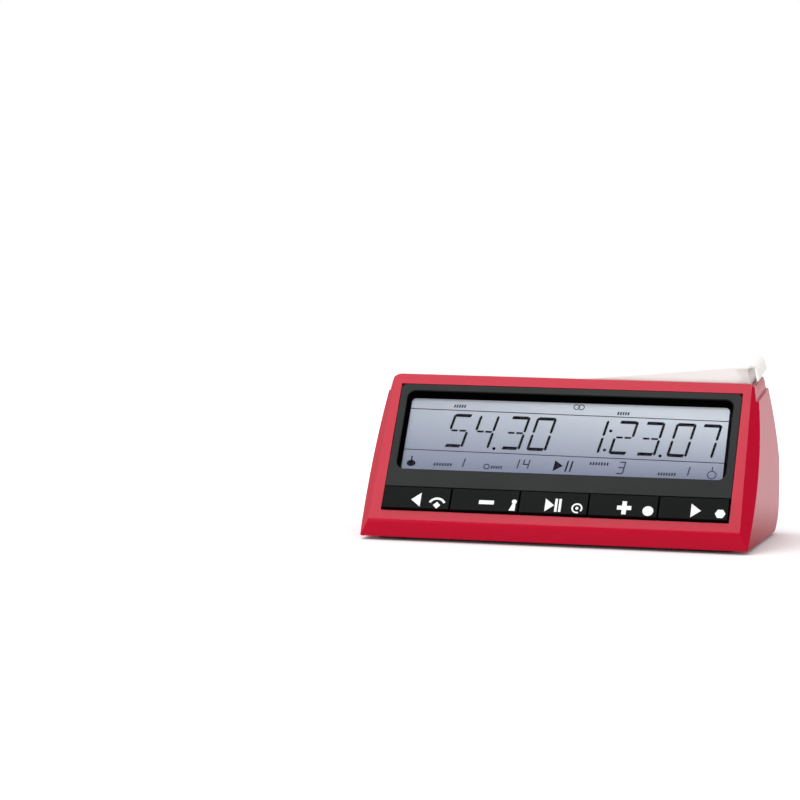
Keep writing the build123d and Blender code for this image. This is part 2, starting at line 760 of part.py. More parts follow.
# Base cover: the black floor with the battery bay, switch posts and jack pedestal.
board_lift = 7.8
switch_body, switch_t, plunger_r = 6.0, 3.4, 1.7
switch_board_z = base_top + board_lift
switch_post_x, switch_post_y = 9.0, 6.0
pedestal_w = 7.0
door_half = bay_half + door_tongue
with BuildPart() as base_cover:
    with BuildSketch(Plane.XY.offset(base_low)):
        with Locations((0, base_mid_y)):
            RectangleRounded(2 * base_half, base_rear - base_front, base_round)
    extrude(amount=base_t)
    with BuildSketch(Plane.XY.offset(base_top)):
        with Locations((bay_x, bay_mid_y)):
            Rectangle(2 * (bay_half + bay_wall), bay_tall + 2 * bay_wall)
    extrude(amount=bay_top + bay_wall - base_top)
    with BuildSketch(Plane.XY.offset(base_top)):
        with Locations((button_x, button_y)):
            with GridLocations(2 * switch_post_x, 2 * switch_post_y, 2, 2):
                Circle(pin_r)
    extrude(amount=board_lift)
    with BuildSketch(Plane.XY.offset(base_top)):
        with Locations((-base_half + base_round, jack_y)):
            Rectangle(pedestal_w, jack_block)
    extrude(amount=jack_z - jack_block / 2 - base_top)
    with BuildSketch(Plane.XY.offset(base_low)):
        with Locations((bay_x, bay_mid_y)):
            Rectangle(2 * bay_half, bay_tall)
    extrude(amount=bay_top - base_low, mode=Mode.SUBTRACT)
    door_front_y = bay_mid_y - bay_tall / 2 - bay_wall
    door_rear_y = front_y + base_rear
    with BuildSketch(Plane.XY.offset(base_low)):
        with Locations((bay_x, (door_front_y + door_rear_y) / 2)):
            Rectangle(2 * bay_half, door_rear_y - door_front_y)
    extrude(amount=door_t + door_play, mode=Mode.SUBTRACT)
    with BuildSketch(Plane.XY.offset(base_low + door_t / 2 - door_play)):
        with Locations((bay_x, (door_front_y + door_rear_y) / 2)):
            Rectangle(2 * (door_half + door_play), door_rear_y - door_front_y)
    extrude(amount=door_t / 2 + 2 * door_play, mode=Mode.SUBTRACT)
    with Locations((button_x, button_y, 0)):
        Cylinder(button_r + button_play, 4 * base_t, mode=Mode.SUBTRACT)
    with BuildSketch(Plane.XY.offset(base_low)):
        with Locations(*boss_places):
            Circle(screw_head_r + fit_gap)
    extrude(amount=screw_head_t, mode=Mode.SUBTRACT)
    with BuildSketch(Plane.XY.offset(base_low)):
        with Locations(*boss_places):
            Circle(screw_r + fit_gap)
    extrude(amount=base_t, mode=Mode.SUBTRACT)
    with BuildSketch(Plane.XY.offset(base_low)):
        with Locations(*foot_places):
            Circle(foot_r)
    extrude(amount=foot_sink, mode=Mode.SUBTRACT)
base_cover.part.label = "base_cover"
export_step(base_cover.part, "parts/base_cover.step")

with BuildPart() as battery_door:
    with BuildSketch(Plane.XY.offset(base_low)):
        with Locations((bay_x, (door_front_y + door_rear_y + door_play) / 2)):
            Rectangle(2 * (bay_half - door_play), door_rear_y - door_front_y - door_play)
    extrude(amount=door_t)
    with BuildSketch(Plane.XY.offset(base_low + door_t / 2)):
        with Locations((bay_x, (door_front_y + door_rear_y + door_play) / 2)):
            Rectangle(2 * door_half, door_rear_y - door_front_y - door_play)
    extrude(amount=door_t / 2)
battery_door.part.label = "battery_door"
export_step(battery_door.part, "parts/battery_door.step")

# Batteries lie side by side, nose to tail, each between a spring and a contact plate.
cell_ys = (bay_mid_y - cell_r - cell_play / 2, bay_mid_y + cell_r + cell_play / 2)
nose_r, nose_len = 2.75, 1.2
plate_x = bay_half - contact_t
for name, cell_y, side in zip(("battery_front", "battery_rear"), cell_ys, (1, -1)):
    with BuildPart() as battery:
        tail = bay_x - side * (plate_x - spring_room)
        with BuildSketch(Plane.YZ.offset(tail)):
            with Locations((cell_y, cell_z)):
                Circle(cell_r)
        extrude(amount=side * (cell_len - nose_len))
        with BuildSketch(Plane.YZ.offset(tail + side * (cell_len - nose_len))):
            with Locations((cell_y, cell_z)):
                Circle(nose_r)
        extrude(amount=side * nose_len)
    battery.part.label = name
    export_step(battery.part, f"parts/{name}.step")

with BuildPart() as battery_contacts:
    for side in (-1, 1):
        with BuildSketch(Plane.YZ.offset(bay_x + side * plate_x)):
            with Locations(*[(cell_y, cell_z) for cell_y in cell_ys]):
                Rectangle(2 * cell_r - cell_play, 2 * cell_r - 2 * cell_play)
        extrude(amount=side * contact_t)
battery_contacts.part.label = "battery_contacts"
export_step(battery_contacts.part, "parts/battery_contacts.step")

spring_r, spring_wire, spring_turns = 3.2, 0.35, 4
with BuildPart() as battery_springs:
    for cell_y, side in zip(cell_ys, (1, -1)):
        for turn in range(spring_turns):
            coil_step = (spring_room - 2 * spring_wire) / (spring_turns - 1)
            coil_x = bay_x - side * (plate_x - spring_wire - turn * coil_step)
            with Locations(Location((coil_x, cell_y, cell_z), (0, 90, 0))):
                Torus(spring_r - turn * spring_wire, spring_wire)
battery_springs.part.label = "battery_springs"
export_step(battery_springs.part, "parts/battery_springs.step")

# Power button: pushed up from below, kept in by its flange.
button_low = base_low + fit_gap
button_high = base_top + board_lift - switch_t - pin_r - 2 * fit_gap - button_travel
with BuildPart() as power_button:
    with BuildSketch(Plane.XY.offset(button_low)):
        with Locations((button_x, button_y)):
            Circle(button_r)
    extrude(amount=button_high - button_low)
    with BuildSketch(Plane.XY.offset(base_top + fit_gap)):
        with Locations((button_x, button_y)):
            Circle(button_r + flange)
    extrude(amount=key_lip)
power_button.part.label = "power_button"
export_step(power_button.part, "parts/power_button.step")

with BuildPart() as power_switch:
    with BuildSketch(Plane.XY.offset(switch_board_z - switch_t)):
        with Locations((button_x, button_y)):
            Rectangle(switch_body, switch_body)
    extrude(amount=switch_t)
    with BuildSketch(Plane.XY.offset(button_high + button_travel + fit_gap)):
        with Locations((button_x, button_y)):
            Circle(plunger_r)
    extrude(amount=switch_t)
power_switch.part.label = "power_switch"
export_step(power_switch.part, "parts/power_switch.step")

with BuildPart() as power_board:
    with BuildSketch(Plane.XY.offset(switch_board_z)):
        with Locations((button_x, button_y)):
            Rectangle(2 * switch_post_x + 3 * pin_r, 2 * switch_post_y + 3 * pin_r)
    extrude(amount=board_t)
power_board.part.label = "power_board"
export_step(power_board.part, "parts/power_board.step")

# Jack socket: a block on the base with its collar through the left wall.
jack_outer_x = -(front_half + front_inset * (jack_y - front_y) / depth)
jack_inner_x = jack_outer_x + wall + 2 * fit_gap
with BuildPart() as jack_socket:
    with BuildSketch(Plane.YZ.offset(jack_inner_x)):
        with Locations((jack_y, jack_z)):
            Rectangle(jack_block, jack_block)
    extrude(amount=jack_len + wall)
    with BuildSketch(Plane.YZ.offset(jack_outer_x + 2 * fit_gap)):
        with Locations((jack_y, jack_z)):
            Circle(jack_collar_r)
    extrude(amount=wall)
    with BuildSketch(Plane.YZ.offset(jack_outer_x + 2 * fit_gap)):
        with Locations((jack_y, jack_z)):
            Circle(jack_r)
    extrude(amount=jack_len, mode=Mode.SUBTRACT)
jack_socket.part.label = "jack_socket"
export_step(jack_socket.part, "parts/jack_socket.step")

with BuildPart() as buzzer:
    with BuildSketch(Plane.XY.offset(base_top)):
        with Locations((buzzer_x, front_y + buzzer_y)):
            Circle(buzzer_r)
    extrude(amount=buzzer_h)
    with BuildSketch(Plane.XY.offset(base_top + buzzer_h)):
        with Locations((buzzer_x, front_y + buzzer_y)):
            Circle(plunger_r)
    extrude(amount=-buzzer_hole, mode=Mode.SUBTRACT)
buzzer.part.label = "buzzer"
export_step(buzzer.part, "parts/buzzer.step")

with BuildPart() as feet:
    with BuildSketch(Plane.XY):
        with Locations(*foot_places):
            Circle(foot_r - fit_gap)
    extrude(amount=base_low + foot_sink)
feet.part.label = "feet"
export_step(feet.part, "parts/feet.step")

with BuildPart() as case_screws:
    with BuildSketch(Plane.XY.offset(base_low + fit_gap)):
        with Locations(*boss_places):
            Circle(screw_head_r)
    extrude(amount=screw_head_t - fit_gap)
    with BuildSketch(Plane.XY.offset(base_low + screw_head_t)):
        with Locations(*boss_places):
            Circle(screw_r)
    extrude(amount=screw_len)
case_screws.part.label = "case_screws"
export_step(case_screws.part, "parts/case_screws.step")
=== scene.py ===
import json
import math
import bmesh
import bpy
import numpy as np
from mathutils import Matrix, Vector


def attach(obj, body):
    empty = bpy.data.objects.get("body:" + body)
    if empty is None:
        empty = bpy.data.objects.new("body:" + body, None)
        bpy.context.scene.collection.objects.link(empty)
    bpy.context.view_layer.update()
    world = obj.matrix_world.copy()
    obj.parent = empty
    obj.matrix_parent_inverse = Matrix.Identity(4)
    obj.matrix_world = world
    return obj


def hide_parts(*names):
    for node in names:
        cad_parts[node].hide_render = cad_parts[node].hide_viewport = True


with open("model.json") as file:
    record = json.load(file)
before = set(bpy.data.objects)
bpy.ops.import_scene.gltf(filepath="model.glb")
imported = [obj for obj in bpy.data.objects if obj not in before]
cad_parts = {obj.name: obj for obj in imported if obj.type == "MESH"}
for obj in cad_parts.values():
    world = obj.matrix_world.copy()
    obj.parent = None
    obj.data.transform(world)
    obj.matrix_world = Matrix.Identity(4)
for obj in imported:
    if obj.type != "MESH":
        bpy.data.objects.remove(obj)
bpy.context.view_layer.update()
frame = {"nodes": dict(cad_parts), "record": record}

mm = 0.001
print("frame loaded")

# camera: it stands off in front, turned to the clock's right and a little above the table
cameraView = {"aim": (-100.1, 0.0, 73.7), "distance": 1819.8, "turn": 13.87, "tip": 4.44, "roll": 0.72,
              "lens": 143.5, "sensor": 36.0, "clip": 50.0}


def makeCamera(view):
    turn, tip, roll = (math.radians(view[k]) for k in ("turn", "tip", "roll"))
    back = np.array([math.sin(turn) * math.cos(tip), -math.cos(turn) * math.cos(tip), math.sin(tip)])
    right0 = np.array([math.cos(turn), math.sin(turn), 0.0])
    up0 = np.cross(back, right0)
    right = right0 * math.cos(roll) + up0 * math.sin(roll)
    up = up0 * math.cos(roll) - right0 * math.sin(roll)
    place = (np.array(view["aim"]) + back * view["distance"]) * mm
    lens = bpy.data.cameras.new("viewCamera")
    lens.lens = view["lens"]
    lens.sensor_width = view["sensor"]
    lens.clip_end = view["clip"]
    camera = bpy.data.objects.new("viewCamera", lens)
    bpy.context.scene.collection.objects.link(camera)
    rows = [[right[i], up[i], back[i], place[i]] for i in range(3)] + [[0, 0, 0, 1]]
    camera.matrix_world = Matrix(rows)
    bpy.context.scene.camera = camera


makeCamera(cameraView)

# the slanted front of the clock: x runs along it, v up it from the crease, d into it
face = {"front": -57.536, "crease": 10.5, "tilt": 34.5}


def onFace(x, v, d):
    # point at x, v up the slanted front and d behind it, in metres
    s, c = math.sin(math.radians(face["tilt"])), math.cos(math.radians(face["tilt"]))
    x, v, d = np.broadcast_arrays(np.asarray(x, float), np.asarray(v, float), np.asarray(d, float))
    return np.stack([x, face["front"] + v * s + d * c, face["crease"] + v * c - d * s], -1) * mm


def addNode(tree, kind, at=(0, 0), **values):
    node = tree.nodes.new(kind)
    node.location = at
    for key, value in values.items():
        setattr(node, key, value)
    return node


def joinUp(tree, source, target):
    tree.links.new(source, target)


def makeSkinGroup():
    # moulded skin: slow mottling of colour and gloss, fine grain as a bump, and a few specks of dust
    tree = bpy.data.node_groups.new("mouldedSkin", "ShaderNodeTree")
    takes = (("Colour", "NodeSocketColor"), ("Second Colour", "NodeSocketColor"),
             ("Mottle Size", "NodeSocketFloat"), ("Roughness", "NodeSocketFloat"),
             ("Roughness Spread", "NodeSocketFloat"), ("Grain Size", "NodeSocketFloat"),
             ("Grain Depth", "NodeSocketFloat"), ("Dust", "NodeSocketFloat"))
    gives = (("Colour", "NodeSocketColor"), ("Roughness", "NodeSocketFloat"), ("Normal", "NodeSocketVector"))
    for way, sockets in (("INPUT", takes), ("OUTPUT", gives)):
        for name, kind in sockets:
            tree.interface.new_socket(name=name, in_out=way, socket_type=kind)
    inlet = addNode(tree, "NodeGroupInput", (-1000, 0))
    outlet = addNode(tree, "NodeGroupOutput", (700, 0))
    place = addNode(tree, "ShaderNodeTexCoord", (-1000, 400))
    mottle = addNode(tree, "ShaderNodeTexNoise", (-500, 300))
    mottle.inputs["Detail"].default_value = 3.0
    grain = addNode(tree, "ShaderNodeTexNoise", (-500, -300))
    grain.inputs["Detail"].default_value = 2.0
    specks = addNode(tree, "ShaderNodeTexNoise", (-500, 0))
    specks.inputs["Scale"].default_value = 900.0
    specks.inputs["Detail"].default_value = 1.0
    for node in (mottle, grain, specks):
        joinUp(tree, place.outputs["Object"], node.inputs["Vector"])
    joinUp(tree, inlet.outputs["Mottle Size"], mottle.inputs["Scale"])
    joinUp(tree, inlet.outputs["Grain Size"], grain.inputs["Scale"])
    spread = addNode(tree, "ShaderNodeMapRange", (-250, 300), interpolation_type="SMOOTHSTEP")
    spread.inputs["From Min"].default_value = 0.15
    spread.inputs["From Max"].default_value = 0.85
    joinUp(tree, mottle.outputs["Fac"], spread.inputs["Value"])
    paint = addNode(tree, "ShaderNodeMix", (0, 300), data_type="RGBA")
    joinUp(tree, spread.outputs["Result"], paint.inputs["Factor"])
    joinUp(tree, inlet.outputs["Colour"], paint.inputs["A"])
    joinUp(tree, inlet.outputs["Second Colour"], paint.inputs["B"])
    speckle = addNode(tree, "ShaderNodeMapRange", (-250, 0))
    speckle.inputs["From Min"].default_value = 0.70
    speckle.inputs["From Max"].default_value = 0.78
    joinUp(tree, specks.outputs["Fac"], speckle.inputs["Value"])
    amount = addNode(tree, "ShaderNodeMath", (0, 0), operation="MULTIPLY")
    joinUp(tree, speckle.outputs["Result"], amount.inputs[0])
    joinUp(tree, inlet.outputs["Dust"], amount.inputs[1])
    dusty = addNode(tree, "ShaderNodeMix", (250, 200), data_type="RGBA")
    dusty.inputs["B"].default_value = (0.72, 0.70, 0.67, 1.0)
    joinUp(tree, amount.outputs[0], dusty.inputs["Factor"])
    joinUp(tree, paint.outputs["Result"], dusty.inputs["A"])
    joinUp(tree, dusty.outputs["Result"], outlet.inputs["Colour"])
    centred = addNode(tree, "ShaderNodeMath", (0, -150), operation="SUBTRACT")
    centred.inputs[1].default_value = 0.5
    joinUp(tree, spread.outputs["Result"], centred.inputs[0])
    scaled = addNode(tree, "ShaderNodeMath", (180, -150), operation="MULTIPLY_ADD")
    joinUp(tree, centred.outputs[0], scaled.inputs[0])
    joinUp(tree, inlet.outputs["Roughness Spread"], scaled.inputs[1])
    joinUp(tree, inlet.outputs["Roughness"], scaled.inputs[2])
    joinUp(tree, scaled.outputs[0], outlet.inputs["Roughness"])
    bump = addNode(tree, "ShaderNodeBump", (250, -300))
    joinUp(tree, grain.outputs["Fac"], bump.inputs["Height"])
    joinUp(tree, inlet.outputs["Grain Depth"], bump.inputs["Distance"])
    joinUp(tree, bump.outputs["Normal"], outlet.inputs["Normal"])
    return tree


skinGroup = makeSkinGroup()


def makeShader(name, **sockets):
    # a material with one Principled shader whose plain values are set on its own sockets
    material = bpy.data.materials.new(name)
    material.use_nodes = True
    shader = material.node_tree.nodes["Principled BSDF"]
    for key, value in sockets.items():
        shader.inputs[key.replace("_", " ")].default_value = value
    return material, material.node_tree, shader


def mouldedPlastic(name, colour, second, roughness, spread=0.06, mottle=22.0, grain=2400.0, depth=0.00001,
                   dust=0.0, **sockets):
    material, tree, shader = makeShader(name, **sockets)
    skin = addNode(tree, "ShaderNodeGroup", (-400, 200))
    skin.node_tree = skinGroup
    values = {"Colour": (*colour, 1.0), "Second Colour": (*second, 1.0), "Mottle Size": mottle,
              "Roughness": roughness, "Roughness Spread": spread, "Grain Size": grain, "Grain Depth": depth,
              "Dust": dust}
    for key, value in values.items():
        skin.inputs[key].default_value = value
    joinUp(tree, skin.outputs["Colour"], shader.inputs["Base Color"])
    joinUp(tree, skin.outputs["Roughness"], shader.inputs["Roughness"])
    joinUp(tree, skin.outputs["Normal"], shader.inputs["Normal"])
    return material


redPlastic = mouldedPlastic("redGlossPlastic", (0.540, 0.0002, 0.026), (0.520, 0.0002, 0.024), 0.20,
                            spread=0.02, depth=0.000003, Specular_IOR_Level=0.36)
leverPlastic = mouldedPlastic("leverWhitePlastic", (0.97, 0.925, 0.90), (0.95, 0.905, 0.88), 0.34,
                              depth=0.000006)
keyPlastic = mouldedPlastic("keyBlackPlastic", (0.0022, 0.0030, 0.0028), (0.0016, 0.0024, 0.0022), 0.36,
                            depth=0.00001, Specular_IOR_Level=0.12)
blackPlastic = mouldedPlastic("blackTexturedPlastic", (0.010, 0.010, 0.011), (0.007, 0.007, 0.008), 0.52,
                              depth=0.00003, grain=1500.0, dust=0.2)
siliconeRubber = mouldedPlastic("greySilicone", (0.16, 0.16, 0.17), (0.13, 0.13, 0.14), 0.62, depth=0.00001)
softRubber = mouldedPlastic("blackRubber", (0.018, 0.018, 0.018), (0.013, 0.013, 0.013), 0.75, depth=0.00004,
                            grain=1800.0, dust=0.3)
chipEpoxy = mouldedPlastic("chipEpoxy", (0.016, 0.016, 0.017), (0.012, 0.012, 0.013), 0.5, depth=0.00002)
print("plastics made")


# how far the roughness of metal wanders below and above its own value
metalSpread = (-0.08, 0.10)


def metalFinish(name, colour, second, roughness, streak=(1.0, 1.0, 1.0), size=1600.0, depth=0.000004):
    # metal with fine noise on object coordinates, drawn out along one axis where streaks are wanted
    material, tree, shader = makeShader(name, Metallic=1.0)
    place = addNode(tree, "ShaderNodeTexCoord", (-1100, 0))
    stretch = addNode(tree, "ShaderNodeMapping", (-900, 0))
    stretch.inputs["Scale"].default_value = streak
    noise = addNode(tree, "ShaderNodeTexNoise", (-700, 0))
    noise.inputs["Scale"].default_value = size
    noise.inputs["Detail"].default_value = 3.0
    tint = addNode(tree, "ShaderNodeMix", (-400, 200), data_type="RGBA")
    tint.inputs["A"].default_value = (*colour, 1.0)
    tint.inputs["B"].default_value = (*second, 1.0)
    rough = addNode(tree, "ShaderNodeMapRange", (-400, -50))
    rough.inputs["To Min"].default_value = roughness + metalSpread[0]
    rough.inputs["To Max"].default_value = roughness + metalSpread[1]
    bump = addNode(tree, "ShaderNodeBump", (-400, -300))
    bump.inputs["Distance"].default_value = depth
    joinUp(tree, place.outputs["Object"], stretch.inputs["Vector"])
    joinUp(tree, stretch.outputs["Vector"], noise.inputs["Vector"])
    joinUp(tree, noise.outputs["Fac"], tint.inputs["Factor"])
    joinUp(tree, noise.outputs["Fac"], rough.inputs["Value"])
    joinUp(tree, noise.outputs["Fac"], bump.inputs["Height"])
    joinUp(tree, tint.outputs["Result"], shader.inputs["Base Color"])
    joinUp(tree, rough.outputs["Result"], shader.inputs["Roughness"])
    joinUp(tree, bump.outputs["Normal"], shader.inputs["Normal"])
    return material


steelFinish = metalFinish("brightSteel", (0.62, 0.62, 0.61), (0.50, 0.50, 0.50), 0.28,
                          streak=(1.0, 0.05, 1.0))
magnetFinish = metalFinish("nickelPlate", (0.66, 0.65, 0.62), (0.58, 0.57, 0.54), 0.20)


def boardFinish():
    # solder-masked board: green mask, lighter copper runs under it from bricks, tinned pads from small cells
    material, tree, shader = makeShader("greenCircuitBoard")
    place = addNode(tree, "ShaderNodeTexCoord", (-1200, 0))
    runs = addNode(tree, "ShaderNodeTexBrick", (-900, 200))
    runs.inputs["Color1"].default_value = (0.0, 0.0, 0.0, 1.0)
    runs.inputs["Color2"].default_value = (0.0, 0.0, 0.0, 1.0)
    runs.inputs["Mortar"].default_value = (1.0, 1.0, 1.0, 1.0)
    runs.inputs["Scale"].default_value = 110.0
    runs.inputs["Mortar Size"].default_value = 0.05
    pads = addNode(tree, "ShaderNodeTexVoronoi", (-900, -200))
    pads.inputs["Scale"].default_value = 230.0
    pads.inputs["Randomness"].default_value = 0.4
    dot = addNode(tree, "ShaderNodeMapRange", (-650, -200))
    dot.inputs["From Min"].default_value = 0.24
    dot.inputs["From Max"].default_value = 0.18
    mask = addNode(tree, "ShaderNodeMix", (-400, 200), data_type="RGBA")
    mask.inputs["A"].default_value = (0.006, 0.085, 0.030, 1.0)
    mask.inputs["B"].default_value = (0.020, 0.19, 0.060, 1.0)
    tinned = addNode(tree, "ShaderNodeMix", (-200, 200), data_type="RGBA")
    tinned.inputs["B"].default_value = (0.62, 0.60, 0.56, 1.0)
    joinUp(tree, place.outputs["Object"], runs.inputs["Vector"])
    joinUp(tree, place.outputs["Object"], pads.inputs["Vector"])
    joinUp(tree, pads.outputs["Distance"], dot.inputs["Value"])
    joinUp(tree, runs.outputs["Fac"], mask.inputs["Factor"])
    joinUp(tree, mask.outputs["Result"], tinned.inputs["A"])
    joinUp(tree, dot.outputs["Result"], tinned.inputs["Factor"])
    joinUp(tree, tinned.outputs["Result"], shader.inputs["Base Color"])
    joinUp(tree, dot.outputs["Result"], shader.inputs["Metallic"])
    bump = addNode(tree, "ShaderNodeBump", (-200, -200))
    bump.inputs["Distance"].default_value = 0.00003
    joinUp(tree, runs.outputs["Fac"], bump.inputs["Height"])
    joinUp(tree, bump.outputs["Normal"], shader.inputs["Normal"])
    shader.inputs["Roughness"].default_value = 0.35
    return material


def sleeveFinish():
    # cell jacket: dark, with one copper-coloured band worked out along the cell
    material, tree, shader = makeShader("cellJacket", Metallic=0.35)
    place = addNode(tree, "ShaderNodeTexCoord", (-1000, 0))
    parts = addNode(tree, "ShaderNodeSeparateXYZ", (-800, 0))
    band = addNode(tree, "ShaderNodeMapRange", (-600, 0))
    band.inputs["From Min"].default_value = 0.0088
    band.inputs["From Max"].default_value = 0.0092
    noise = addNode(tree, "ShaderNodeTexNoise", (-600, -300))
    noise.inputs["Scale"].default_value = 400.0
    tint = addNode(tree, "ShaderNodeMix", (-300, 100), data_type="RGBA")
    tint.inputs["A"].default_value = (0.014, 0.015, 0.017, 1.0)
    tint.inputs["B"].default_value = (0.45, 0.19, 0.06, 1.0)
    rough = addNode(tree, "ShaderNodeMapRange", (-300, -300))
    rough.inputs["To Min"].default_value = 0.22
    rough.inputs["To Max"].default_value = 0.36
    joinUp(tree, place.outputs["Object"], parts.inputs["Vector"])
    joinUp(tree, parts.outputs["X"], band.inputs["Value"])
    joinUp(tree, band.outputs["Result"], tint.inputs["Factor"])
    joinUp(tree, place.outputs["Object"], noise.inputs["Vector"])
    joinUp(tree, noise.outputs["Fac"], rough.inputs["Value"])
    joinUp(tree, tint.outputs["Result"], shader.inputs["Base Color"])
    joinUp(tree, rough.outputs["Result"], shader.inputs["Roughness"])
    return material


def displayFinish():
    # reflective display: blue grey, paler up the glass and towards the right as a painted reflection, with a
    # painted glow in the same colour, and a faint grain in its gloss
    material, tree, shader = makeShader("liquidCrystalGlass", Specular_IOR_Level=0.3, Emission_Strength=0.38)
    place = addNode(tree, "ShaderNodeTexCoord", (-1200, 0))
    parts = addNode(tree, "ShaderNodeSeparateXYZ", (-1000, 0))
    rise = addNode(tree, "ShaderNodeMapRange", (-800, 100))
    rise.inputs["From Min"].default_value = 0.038
    rise.inputs["From Max"].default_value = 0.072
    across = addNode(tree, "ShaderNodeMapRange", (-800, -150))
    across.inputs["From Min"].default_value = -0.092
    across.inputs["From Max"].default_value = 0.092
    # painted reflection: how much paler the glass is made, up it and towards the right
    paintedReflection = addNode(tree, "ShaderNodeMath", (-600, 0), operation="MULTIPLY")
    share = addNode(tree, "ShaderNodeMath", (-700, -200), operation="MULTIPLY_ADD")
    share.inputs[1].default_value = 0.55
    share.inputs[2].default_value = 0.60
    grain = addNode(tree, "ShaderNodeTexNoise", (-800, -400))
    grain.inputs["Scale"].default_value = 1200.0
    tint = addNode(tree, "ShaderNodeMix", (-350, 100), data_type="RGBA")
    tint.inputs["A"].default_value = (0.28, 0.315, 0.44, 1.0)
    tint.inputs["B"].default_value = (0.86, 0.92, 1.00, 1.0)
    rough = addNode(tree, "ShaderNodeMapRange", (-350, -300))
    rough.inputs["To Min"].default_value = 0.30
    rough.inputs["To Max"].default_value = 0.42
    joinUp(tree, place.outputs["Object"], parts.inputs["Vector"])
    joinUp(tree, parts.outputs["Z"], rise.inputs["Value"])
    joinUp(tree, parts.outputs["X"], across.inputs["Value"])
    joinUp(tree, across.outputs["Result"], share.inputs[0])
    joinUp(tree, rise.outputs["Result"], paintedReflection.inputs[0])
    joinUp(tree, share.outputs[0], paintedReflection.inputs[1])
    joinUp(tree, paintedReflection.outputs[0], tint.inputs["Factor"])
    joinUp(tree, place.outputs["Object"], grain.inputs["Vector"])
    joinUp(tree, grain.outputs["Fac"], rough.inputs["Value"])
    joinUp(tree, tint.outputs["Result"], shader.inputs["Base Color"])
    # painted glow: the glass gives off light in its own colour though it is no lamp
    joinUp(tree, tint.outputs["Result"], shader.inputs["Emission Color"])
    joinUp(tree, rough.outputs["Result"], shader.inputs["Roughness"])
    return material


def windowFinish():
    # clear acrylic that lets the lamps through, with faint wiping marks in its gloss
    material, tree, shader = makeShader("clearAcrylic", Transmission_Weight=1.0, IOR=1.12,
                                        Specular_IOR_Level=0.3)
    place = addNode(tree, "ShaderNodeTexCoord", (-800, 0))
    wipes = addNode(tree, "ShaderNodeTexNoise", (-600, 0))
    wipes.inputs["Scale"].default_value = 60.0
    rough = addNode(tree, "ShaderNodeMapRange", (-400, 0))
    rough.inputs["To Min"].default_value = 0.0
    rough.inputs["To Max"].default_value = 0.008
    joinUp(tree, place.outputs["Object"], wipes.inputs["Vector"])
    joinUp(tree, wipes.outputs["Fac"], rough.inputs["Value"])
    joinUp(tree, rough.outputs["Result"], shader.inputs["Roughness"])
    path = addNode(tree, "ShaderNodeLightPath", (-200, 400))
    clear = addNode(tree, "ShaderNodeBsdfTransparent", (0, 300))
    pick = addNode(tree, "ShaderNodeMixShader", (300, 200))
    joinUp(tree, path.outputs["Is Shadow Ray"], pick.inputs[0])
    joinUp(tree, shader.outputs[0], pick.inputs[1])
    joinUp(tree, clear.outputs[0], pick.inputs[2])
    joinUp(tree, pick.outputs[0], tree.nodes["Material Output"].inputs["Surface"])
    return material


# where the grey panel is painted black as shade, from none to all: depth behind the face, and height up it
bezelPaintedShade = {"depth": (0.00025, 0.00055), "height": (0.0231, 0.0228), "gloss": (0.34, 0.02)}


def bezelFinish():
    # dark grey moulded panel; its depth picks out the sunken recess walls, painted black as shade, and its
    # height a black lower edge, a painted shadow gap above the keys; their gloss is taken away too
    material = mouldedPlastic("bezelGreyPlastic", (0.0100, 0.0112, 0.0102), (0.0082, 0.0092, 0.0086), 0.42,
                              depth=0.000012, grain=3200.0)
    tree = material.node_tree
    shader = tree.nodes["Principled BSDF"]
    skin = next(n for n in tree.nodes if n.type == "GROUP")
    place = addNode(tree, "ShaderNodeTexCoord", (-1200, -300))
    s, c = math.sin(math.radians(face["tilt"])), math.cos(math.radians(face["tilt"]))
    masks = []
    for along, (low, high) in (((0.0, c, -s), bezelPaintedShade["depth"]), ((0.0, s, c), bezelPaintedShade["height"])):
        row = -300 - 250 * len(masks)
        reach = addNode(tree, "ShaderNodeVectorMath", (-1000, row), operation="DOT_PRODUCT")
        reach.inputs[1].default_value = along
        zero = (face["front"] * along[1] + face["crease"] * along[2]) * mm
        mask = addNode(tree, "ShaderNodeMapRange", (-800, row))
        mask.inputs["From Min"].default_value = zero + low
        mask.inputs["From Max"].default_value = zero + high
        joinUp(tree, place.outputs["Object"], reach.inputs[0])
        joinUp(tree, reach.outputs["Value"], mask.inputs["Value"])
        masks.append(mask)
    # painted shade: the recess walls and the lower edge strip are mixed to black and lose their gloss
    black = addNode(tree, "ShaderNodeMath", (-550, -350), operation="MAXIMUM")
    gloss = addNode(tree, "ShaderNodeMapRange", (-350, -350))
    gloss.inputs["To Min"].default_value, gloss.inputs["To Max"].default_value = bezelPaintedShade["gloss"]
    paint = addNode(tree, "ShaderNodeMix", (-100, 300), data_type="RGBA")
    paint.inputs["B"].default_value = (0.0006, 0.0006, 0.0007, 1.0)
    joinUp(tree, masks[0].outputs["Result"], black.inputs[0])
    joinUp(tree, masks[1].outputs["Result"], black.inputs[1])
    joinUp(tree, black.outputs[0], paint.inputs["Factor"])
    joinUp(tree, black.outputs[0], gloss.inputs["Value"])
    joinUp(tree, gloss.outputs["Result"], shader.inputs["Specular IOR Level"])
    joinUp(tree, skin.outputs["Colour"], paint.inputs["A"])
    joinUp(tree, paint.outputs["Result"], shader.inputs["Base Color"])
    return material


bezelPlastic = bezelFinish()
boardMask = boardFinish()
cellJacket = sleeveFinish()
displayGlass = displayFinish()
clearAcrylic = windowFinish()
segmentInk = mouldedPlastic("segmentInk", (0.0015, 0.0025, 0.014), (0.0012, 0.0020, 0.011), 0.5, depth=0.0,
                            Specular_IOR_Level=0.1)
paleInk = mouldedPlastic("paleSegmentInk", (0.060, 0.070, 0.120), (0.050, 0.060, 0.105), 0.5, depth=0.0,
                         Specular_IOR_Level=0.1)
whiteInk = mouldedPlastic("whitePadPrint", (0.93, 0.93, 0.93), (0.90, 0.90, 0.90), 0.45, depth=0.000004)
print("finishes made")

